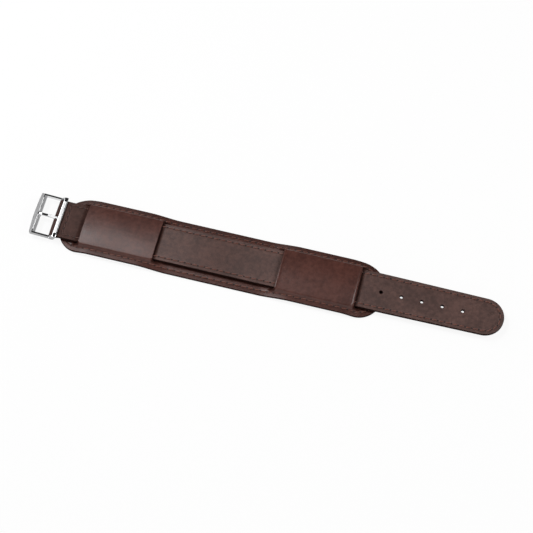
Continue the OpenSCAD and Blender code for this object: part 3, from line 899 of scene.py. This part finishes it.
# The strap's lining
# A thinner, plain layer of calf under the strap, from the end of the turned flap to the tip, punched
# with the buckle holes together with the layer above it.
strap_low, strap_high = (np.array(corner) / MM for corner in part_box("strap_lining"))
STRAP_Y = strap_high[1]
TIP_X = strap_high[0]
FLAP_X = strap_low[0]
STRAP_LOW = strap_low[2]
STRAP_MID = strap_high[2]
TIP_Y = 9.5
TAPER_LENGTH = 48.0
TIP_ROUND_X = TIP_X - TIP_Y
TAPER_X = TIP_ROUND_X - TAPER_LENGTH
HOLE_R = 0.8
HOLE_COUNT = 5
HOLE_PITCH = 10.0
HOLE_FROM_TIP = 20.0
HOLE_PATCH = 1.6
STRAP_SEAM_INSET = 1.9
STRAP_ROUND = 0.42
STRAP_PAINT_FALL = 0.2
LINING_HOLE_ROUND = 0.12
CROSS_SEAM_X = FLAP_X - 6.0
TURN_RUN = 3.0
TURN_STEP = 0.3
FREE_STEP = 1.5
HOLE_STEP = 1.2
TIP_COLUMNS = 34
PUNCH_COLUMNS = (0, 0.35, 0.7, 1.15, 1.6, 2.05, 2.5, 2.85, 3.2)
PUNCH_ROWS = [0, 0.45, 0.9, 1.25, 1.6]
PUNCH_RINGS = (0.5, 0.25, 0.14, 0.09, 0.05, 0.02, 0)
ROW_RUNS = ((1.6, 7.2, 0.7), (7.2, 9.0, 0.18), (9.0, 9.6, 0.15), (9.6, 9.9, 0.1), (9.9, 10.0, 0.05))
hole_places = [TIP_X - HOLE_FROM_TIP - k * HOLE_PITCH for k in range(HOLE_COUNT - 1, -1, -1)]


def strap_width(x):
    """Half the strap's width at a place along it."""
    straight = STRAP_Y - (STRAP_Y - TIP_Y) * np.clip((x - TAPER_X) / TAPER_LENGTH, 0, 1)
    past = np.clip(x - TIP_ROUND_X, 0, TIP_Y)
    return np.where(x > TIP_ROUND_X, np.sqrt(TIP_Y**2 - past**2), straight)


def strap_edge(x, y):
    """Distance of a place from the strap's outline."""
    return np.where(x > TIP_ROUND_X, TIP_Y - np.hypot(x - TIP_ROUND_X, y), strap_width(x) - np.abs(y))


def tail_columns(start):
    """Stations along the strap from a start to its tip, closer at the buckle holes and at the tip."""
    turn_end = start + TURN_RUN
    places = spread((start, turn_end, TURN_STEP), (turn_end, hole_places[0] - HOLE_PATCH, FREE_STEP))[:-1]
    for k, place in enumerate(hole_places):
        places += [place - HOLE_PATCH + d for d in PUNCH_COLUMNS]
        far = hole_places[k + 1] - HOLE_PATCH if k + 1 < HOLE_COUNT else TIP_ROUND_X
        places += spread((place + HOLE_PATCH, far, HOLE_STEP))[1:-1]
    angles = [LAST_TURN * k / TIP_COLUMNS for k in range(TIP_COLUMNS + 1)]
    return places + [TIP_ROUND_X + TIP_Y * math.sin(angle) for angle in angles]


half_rows = PUNCH_ROWS + spread(*ROW_RUNS)[1:]
strap_rows = np.array([-y for y in half_rows[:0:-1]] + half_rows) * STRAP_Y / half_rows[-1]


def punch(px, py, faces, columns, rows):
    """Opens the buckle holes in a grid of points: returns all the points' places and the faces."""
    px, py, faces = list(px), list(py), set(faces)
    row_span = [j for j, y in enumerate(rows) if abs(y) < HOLE_PATCH + TOUCH]
    low, high = row_span[0], row_span[-1]
    count = len(rows)
    for place in hole_places:
        span = [i for i, x in enumerate(columns) if abs(x - place) < HOLE_PATCH + TOUCH]
        left, right = span[0], span[-1]
        faces -= {f for f in faces if left <= f[0] // count < right and low <= f[0] % count < high}
        ring = [i * count + low for i in range(left, right)]
        ring += [right * count + j for j in range(low, high)]
        ring += [i * count + high for i in range(right, left, -1)]
        ring += [left * count + j for j in range(high, low, -1)]
        bearings = [math.atan2(py[i], px[i] - place) for i in ring]
        for reach in PUNCH_RINGS:
            inner = []
            for bearing in bearings:
                inner.append(len(px))
                px.append(place + (HOLE_R + reach) * math.cos(bearing))
                py.append((HOLE_R + reach) * math.sin(bearing))
            pairs = list(zip(ring, inner))
            faces |= {(a, b, d, c) for (a, c), (b, d) in zip(pairs, pairs[1:] + pairs[:1])}
            ring = inner
    return np.array(px), np.array(py), sorted(faces)


def hole_edge(px, py):
    """Distance of each place from the rim of the nearest buckle hole."""
    return np.min([np.hypot(px - place, py) for place in hole_places], axis=0) - HOLE_R


lining_columns = np.array(tail_columns(FLAP_X))
px = np.repeat(lining_columns, len(strap_rows))
py = np.tile(strap_rows, len(lining_columns)) * strap_width(px) / STRAP_Y
px, py, faces = punch(px, py, strip_faces(len(lining_columns), len(strap_rows)), lining_columns, strap_rows)
edge = strap_edge(px, py)
holes_away = hole_edge(px, py)
under = STRAP_LOW + rounding(edge, EDGE_ROUND) + furrow(edge, STRAP_SEAM_INSET)
strap_lining = leather_layer(
    "strap_lining_leather",
    np.stack([px, py, np.full_like(px, STRAP_MID)], 1),
    np.stack([px, py, under + rounding(holes_away, LINING_HOLE_ROUND)], 1),
    faces,
    rim_paint(np.minimum(edge, holes_away), STRAP_PAINT_FALL),
    lining_leather,
)
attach(strap_lining, "strap")
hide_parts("strap_lining")

# The strap's top leather
# One length of matt greyish-brown calf from the tip to the buckle, where it is pared thin, turned
# round the spring bar and glued back under itself. A slit at the turn lets the tongue through. A
# painted shade darkens it near the buckle and in its middle, and a painted shadow lies across it
# just outside each slot's roof edge.
bar_low, bar_high = (np.array(corner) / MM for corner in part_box("spring_bar_tube"))
BAR_X = (bar_low[0] + bar_high[0]) / 2
BAR_Z = (bar_low[2] + bar_high[2]) / 2
STRAP_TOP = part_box("strap_top")[1].z / MM
FOLD_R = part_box("strap_fold")[1].z / MM - BAR_Z
FOLD_T = 0.7
FOLD_JOIN = 4.0
SLIT_HALF = 0.9
SLIT_BACK = 1.8
STRAP_CROWN = 0.1
DISH_DEPTH = 0.07
DISH_SPREAD = 0.45
HOLE_ROUND = 0.14
SEWN_RUN = 1.2
FLAP_COLUMNS = 8
TURN_STEPS = 26
# Painted shade on the strap near the buckle.
BUCKLE_PAINTED_SHADE = 0.36
BUCKLE_SHADE_RUN = 6.0
# Painted shadow across the strap just outside each slot's roof edge.
SLOT_SHADOW_DEPTH = 0.85
SLOT_SHADOW_SPREAD = 0.4
SLOT_SHADOW_PAST_FIRST = 0.75
SLOT_SHADOW_PAST_REST = 0.3
# Painted shade in the middle of the strap, over the pad's centre.
MIDDLE_PAINTED_SHADE = 0.14
MIDDLE_SPREAD = 14.0


def touch(place, radius, side):
    """Angle at which a line from a place touches a circle about the bar, above it or below it."""
    return math.atan2(place[1], place[0]) + side * math.acos(radius / math.hypot(*place))


def turned_run(low, high, radius, shares):
    """The leather's line from its flap's join, under and round the bar, and up to the join on top."""
    start, end = touch(low, radius, -1), touch(high, radius, 1)
    sweep = (start - end) % (2 * math.pi)
    angles = [start - sweep * k / TURN_STEPS for k in range(TURN_STEPS + 1)]
    ring = [(radius * math.cos(angle), radius * math.sin(angle)) for angle in angles]
    down = [tuple(np.array(low) + (np.array(ring[0]) - low) * s) for s in shares]
    up = [tuple(np.array(high) + (np.array(ring[-1]) - high) * s) for s in reversed(shares)]
    return down[:-1] + ring + up[1:]


low_z, mid_z, top_z = STRAP_LOW - BAR_Z, STRAP_MID - BAR_Z, STRAP_TOP - BAR_Z
low_join = (FOLD_JOIN, low_z)
top_join = (FOLD_JOIN, top_z)
crease = (FOLD_JOIN - FOLD_T, mid_z)
slit_share = (FOLD_JOIN - SLIT_BACK) / (FOLD_JOIN - FOLD_R * math.cos(touch(top_join, FOLD_R, 1)))
shares = (0, 0.25, slit_share, 0.8, 1)
flap_run = np.linspace(FLAP_X - BAR_X, FOLD_JOIN, FLAP_COLUMNS + 1)[:-1]
outer_turn = [(x, low_z) for x in flap_run] + turned_run(low_join, top_join, FOLD_R, shares)
inner_turn = [(x, mid_z) for x in flap_run] + turned_run(crease, crease, FOLD_R - FOLD_T, shares)
straight_x = np.array(tail_columns(BAR_X + FOLD_JOIN))[1:]


def whole_run(turned, flat_z):
    """One face of the leather from its flap's end to the tip, as places along the strap and heights."""
    x = np.concatenate([[p[0] + BAR_X for p in turned], straight_x])
    z = np.concatenate([[p[1] + BAR_Z for p in turned], np.full(len(straight_x), flat_z)])
    return x, z


out_x, out_z = whole_run(outer_turn, STRAP_TOP)
in_x, in_z = whole_run(inner_turn, STRAP_MID)
columns, rows = len(out_x), len(strap_rows)
turn_count = len(outer_turn)
column_mid = (out_x[1:] + out_x[:-1]) / 2
row_mid = np.abs(strap_rows[1:] + strap_rows[:-1]) / 2


def off_slit(i, j):
    """Whether the face at a column and a row of the strap's grid lies outside the tongue's slit."""
    return not (i < turn_count and column_mid[i] < BAR_X + SLIT_BACK and row_mid[j] < SLIT_HALF)


grid_px = np.repeat(out_x, rows)
grid_py = np.tile(strap_rows, columns) * strap_width(grid_px) / STRAP_Y
flat_columns = np.where(np.arange(columns) >= turn_count, out_x, np.inf)
ox, py, faces = punch(grid_px, grid_py, strip_faces(columns, rows, off_slit), flat_columns, strap_rows)
line = np.repeat(np.arange(columns), rows)
line = np.append(line, np.full(len(ox) - len(line), columns))
oz = np.append(out_z, STRAP_TOP)[line]
ix = np.where(line < columns, np.append(in_x, 0)[line], ox)
iz = np.append(in_z, STRAP_MID)[line]
through = np.hypot(ox - ix, oz - iz)
nx, nz = (ox - ix) / through, (oz - iz) / through
edge = strap_edge(ox, py)
cut_edge = np.where(ox > 0, np.minimum(edge, hole_edge(ox, py)), edge)
on_top = np.where(line > turn_count - len(shares), 1.0, 0.0)
sewn = ease((ox - CROSS_SEAM_X + SEWN_RUN) / SEWN_RUN) * on_top


def strap_top_drop(x, y, sewn):
    """How far the upper face lies below its flat, from its crown, rounded edges, seams and holes."""
    rim = strap_edge(x, y)
    cross = SEAM_DEPTH * bell(x - CROSS_SEAM_X, SEAM_SPREAD) * (rim > STRAP_SEAM_INSET)
    away = hole_edge(x, y)
    dish = DISH_DEPTH * np.exp(-away / DISH_SPREAD) + rounding(away, HOLE_ROUND)
    crown = STRAP_CROWN * (y / STRAP_Y) ** 2
    seams = sewn * (furrow(rim, STRAP_SEAM_INSET) + cross)
    return crown + rounding(rim, STRAP_ROUND) + seams + dish * (x > 0)


drop = strap_top_drop(ox, py, sewn)
# Painted shade on the strap between the buckle and the pad.
painted_buckle_shade = BUCKLE_PAINTED_SHADE * (1 - ease((ox - PAD_X + OUTER_SLOT) / BUCKLE_SHADE_RUN))
# A painted shadow across the strap next to each slot.
slot_shadow_past = np.where(ox < PAD_X - OUTER_SLOT, SLOT_SHADOW_PAST_FIRST, SLOT_SHADOW_PAST_REST)
painted_slot_shadow = SLOT_SHADOW_DEPTH * bell(slot_distance(ox - cut_shift(ox)) - slot_shadow_past, SLOT_SHADOW_SPREAD) * on_top
# A painted shade in the strap's middle.
painted_middle_shade = MIDDLE_PAINTED_SHADE * bell(ox - PAD_X, MIDDLE_SPREAD) * on_top
strap_leather = leather("strap_leather", (0.045, 0.0200, 0.0155), (0.088, 0.0415, 0.033), 0.5, 0.00006)
strap_top = leather_layer(
    "strap_top_leather",
    np.stack([ox - nx * drop, py, oz - nz * drop], 1),
    np.stack([ix, py, iz], 1),
    faces,
    np.max([rim_paint(cut_edge, STRAP_PAINT_FALL), painted_buckle_shade, painted_slot_shadow, painted_middle_shade], axis=0),
    strap_leather,
)
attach(strap_top, "strap")
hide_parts("strap_top", "strap_fold")

# The strap's stitching
# The same thread sews both edges and goes round the tip, and one more row crosses the strap to hold
# the turned flap.
SEAM_STEP = 2.0
BEND_STEPS = 40
CROSS_POINTS = 30
STRAP_STITCH_DEPTH = 0.17
far_y = STRAP_Y - STRAP_SEAM_INSET
tip_r = TIP_Y - STRAP_SEAM_INSET
run = spread((CROSS_SEAM_X, TAPER_X, SEAM_STEP), (TAPER_X, TIP_ROUND_X, SEAM_STEP))
near = [(x, -(strap_width(x) - STRAP_SEAM_INSET)) for x in run]
angles = [math.pi * k / BEND_STEPS for k in range(1, BEND_STEPS)]
bend = [(TIP_ROUND_X + tip_r * math.sin(angle), -tip_r * math.cos(angle)) for angle in angles]
outline = np.array(near + bend + [(x, -y) for x, y in reversed(near)], float)
cross = np.array([(CROSS_SEAM_X, y) for y in np.linspace(-far_y, far_y, CROSS_POINTS)])


def strap_path(line, upper_face):
    """A seam's line on the strap's upper face or on its underside."""
    x, y = line.T
    if upper_face:
        return np.stack([x, y, STRAP_TOP - strap_top_drop(x, y, 1.0) + STITCH_RISE], 1)
    return np.stack([x, y, np.full_like(x, STRAP_LOW + SEAM_DEPTH + STRAP_STITCH_DEPTH)], 1)


counts = [round(np.hypot(*np.diff(seam, axis=0).T).sum() * MM / STITCH_PITCH) for seam in (outline, cross)]
stitches, mouths = [], []
for upper_face in (True, False):
    paths = [(strap_path(seam, upper_face), False, count) for seam, count in zip((outline, cross), counts)]
    more_stitches, more_mouths = sewn_seam(paths, thread, hole_shade, not upper_face)
    stitches += more_stitches
    mouths += more_mouths
strap_stitches = joined("strap_stitches", stitches, thread)
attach(strap_stitches, "strap")
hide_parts("strap_thread", "fold_thread")
strap_mouths = joined("strap_needle_hole_shades", mouths, hole_shade)
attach(strap_mouths, "strap")

# The spring bar
# A drawn steel tube with a sprung pin in each end. The pins' ends sit in holes in the buckle's arms, and
# the coil that pushes them apart lies inside the tube.


def steel(name, base, rough, line_scale, relief):
    """A metal with fine lines left by drawing or brushing along it."""
    material, tree, output = new_material(name)
    skin = place_node(tree, "ShaderNodeBsdfPrincipled", Metallic=1.0)
    place = tree.nodes.new("ShaderNodeTexCoord")
    stretch = place_node(tree, "ShaderNodeMapping")
    stretch.inputs["Scale"].default_value = line_scale
    lines = place_node(tree, "ShaderNodeTexNoise", Scale=1.0, Detail=3.0, Roughness=0.6)
    shade = mixed(tree, (base * 0.86, base * 0.86, base * 0.87), (base, base, base * 1.01))
    gloss = place_node(tree, "ShaderNodeMapRange", To_Min=rough * 0.75, To_Max=rough * 1.25)
    bump = place_node(tree, "ShaderNodeBump", Strength=0.3, Distance=relief)
    wire(
        tree,
        (place.outputs["Object"], stretch.inputs["Vector"]),
        (stretch, lines.inputs["Vector"]),
        (lines, shade.inputs[0]),
        (shade.outputs[2], skin.inputs["Base Color"]),
        (lines, gloss.inputs["Value"]),
        (gloss, skin.inputs["Roughness"]),
        (lines, bump.inputs["Height"]),
        (bump, skin.inputs["Normal"]),
        (skin, output.inputs["Surface"]),
    )
    return material


drawn_steel = steel("drawn_steel", 0.55, 0.28, (5000, 400, 5000), 0.00001)
for node in ("spring_bar_tube", "spring_bar_pin_near", "spring_bar_pin_far", "spring_bar_coil"):
    bar_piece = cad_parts[node]
    bar_piece.data.materials.clear()
    bar_piece.data.materials.append(drawn_steel)

# The buckle's frame
# One chromed casting: two polished arms, the low rear bar over the fold and the front bar, whose upper
# face is brushed along its length. That bar's inner edge and the rear bar's top are worn bright, the
# arms' outer sides get a darker chrome as painted shade, and every edge is broken by the polishing wheel.
BREAK = 0.16 * MM
SATIN_BACK = BAR_X - 9.65
BAR_MIDDLE = 8.9
FACING_UP = 0.97
FACING_OUT = 0.9
SAME_FACE = math.radians(0.5)
BROKEN_ANGLE = math.radians(32)


def polished_copy(name, node, width, finishes, cuts, finish_of):
    """A metal node's smooth copy: cut at planes, edges broken, and finish_of(place, normal) for each face."""
    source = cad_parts[node]
    shape = bmesh.new()
    shape.from_mesh(source.data)
    bmesh.ops.remove_doubles(shape, verts=shape.verts, dist=1e-7)
    bmesh.ops.dissolve_limit(shape, angle_limit=SAME_FACE, verts=shape.verts, edges=shape.edges)
    for place, normal in cuts:
        everything = shape.verts[:] + shape.edges[:] + shape.faces[:]
        bmesh.ops.bisect_plane(shape, geom=everything, plane_co=Vector(place) * MM, plane_no=normal)
    for face in shape.faces:
        face.material_index = finish_of(face.calc_center_median() / MM, face.normal)
        face.smooth = True
    mesh = bpy.data.meshes.new(name)
    shape.to_mesh(mesh)
    shape.free()
    for finish in finishes:
        mesh.materials.append(finish)
    piece = added(name, mesh)
    bevel = piece.modifiers.new("broken_edges", "BEVEL")
    bevel.width = width
    bevel.segments = 3
    bevel.limit_method = "ANGLE"
    bevel.angle_limit = BROKEN_ANGLE
    piece.modifiers.new("flat_faces", "WEIGHTED_NORMAL").weight = 90
    bpy.context.view_layer.update()
    finished = bpy.data.meshes.new_from_object(piece.evaluated_get(bpy.context.evaluated_depsgraph_get()))
    piece.modifiers.clear()
    piece.data = finished
    return piece


def frame_finish(place, normal):
    """The number of a face's finish on the frame: 0 polish, 1 satin, 2 worn bright, 3 darker chrome for
    painted shade.
    """
    # The arms' outer sides take the darker chrome, a painted shade in place of their reflection.
    if abs(normal.y) > FACING_OUT and abs(place.y) > BAR_MIDDLE and place.y * normal.y > 0:
        return 3
    if normal.z < FACING_UP:
        return 0
    if place.x < SATIN_BACK:
        return 1
    return 2 if abs(place.y) < BAR_MIDDLE else 0


chrome = steel("polished_chrome", 0.76, 0.09, (300, 300, 300), 0.000002)
satin = steel("satin_chrome", 0.33, 0.6, (9000, 500, 9000), 0.00002)
worn = steel("worn_satin_chrome", 0.78, 0.42, (1500, 500, 1500), 0.00002)
# A darker chrome that paints shade into the arms' outer sides.
dull = steel("painted_shade_chrome", 0.4, 0.3, (1500, 500, 1500), 0.00001)
finishes = (chrome, satin, worn, dull)
cuts = (((SATIN_BACK, 0, 0), (1, 0, 0)), ((0, BAR_MIDDLE, 0), (0, 1, 0)), ((0, -BAR_MIDDLE, 0), (0, 1, 0)))
buckle = polished_copy("buckle_frame_polished", "buckle_frame", BREAK, finishes, cuts, frame_finish)
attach(buckle, "frame")
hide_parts("buckle_frame")

# The buckle's tongue
# A polished pin curled round the spring bar, with its point in the notch of the front bar. Its shank is
# arched a little, and the strap has worn it dull at both ends.
TONGUE_BREAK = 0.3 * MM
WORN_FRONT = BAR_X - 7.6
WORN_BACK = BAR_X - 4.6
SHANK_END = BAR_X - 1.5
ARCH_TOP = BAR_X - 5.6
ARCH_HALF = 4.6
ARCH_RISE = 0.25 * MM


def tongue_finish(place, normal):
    """The number of a face's finish on the tongue: 0 polish, 1 worn."""
    return 0 if WORN_FRONT < place.x < WORN_BACK else 1


cuts = (((WORN_FRONT, 0, 0), (1, 0, 0)), ((WORN_BACK, 0, 0), (1, 0, 0)))
finishes = (chrome, worn)
tongue = polished_copy("buckle_tongue_polished", "buckle_tongue", TONGUE_BREAK, finishes, cuts, tongue_finish)
for vertex in [v for v in tongue.data.vertices if v.co.x < SHANK_END * MM]:
    vertex.co.z += ARCH_RISE * (1 - ((vertex.co.x / MM - ARCH_TOP) / ARCH_HALF) ** 2)
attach(tongue, "tongue")
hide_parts("buckle_tongue")
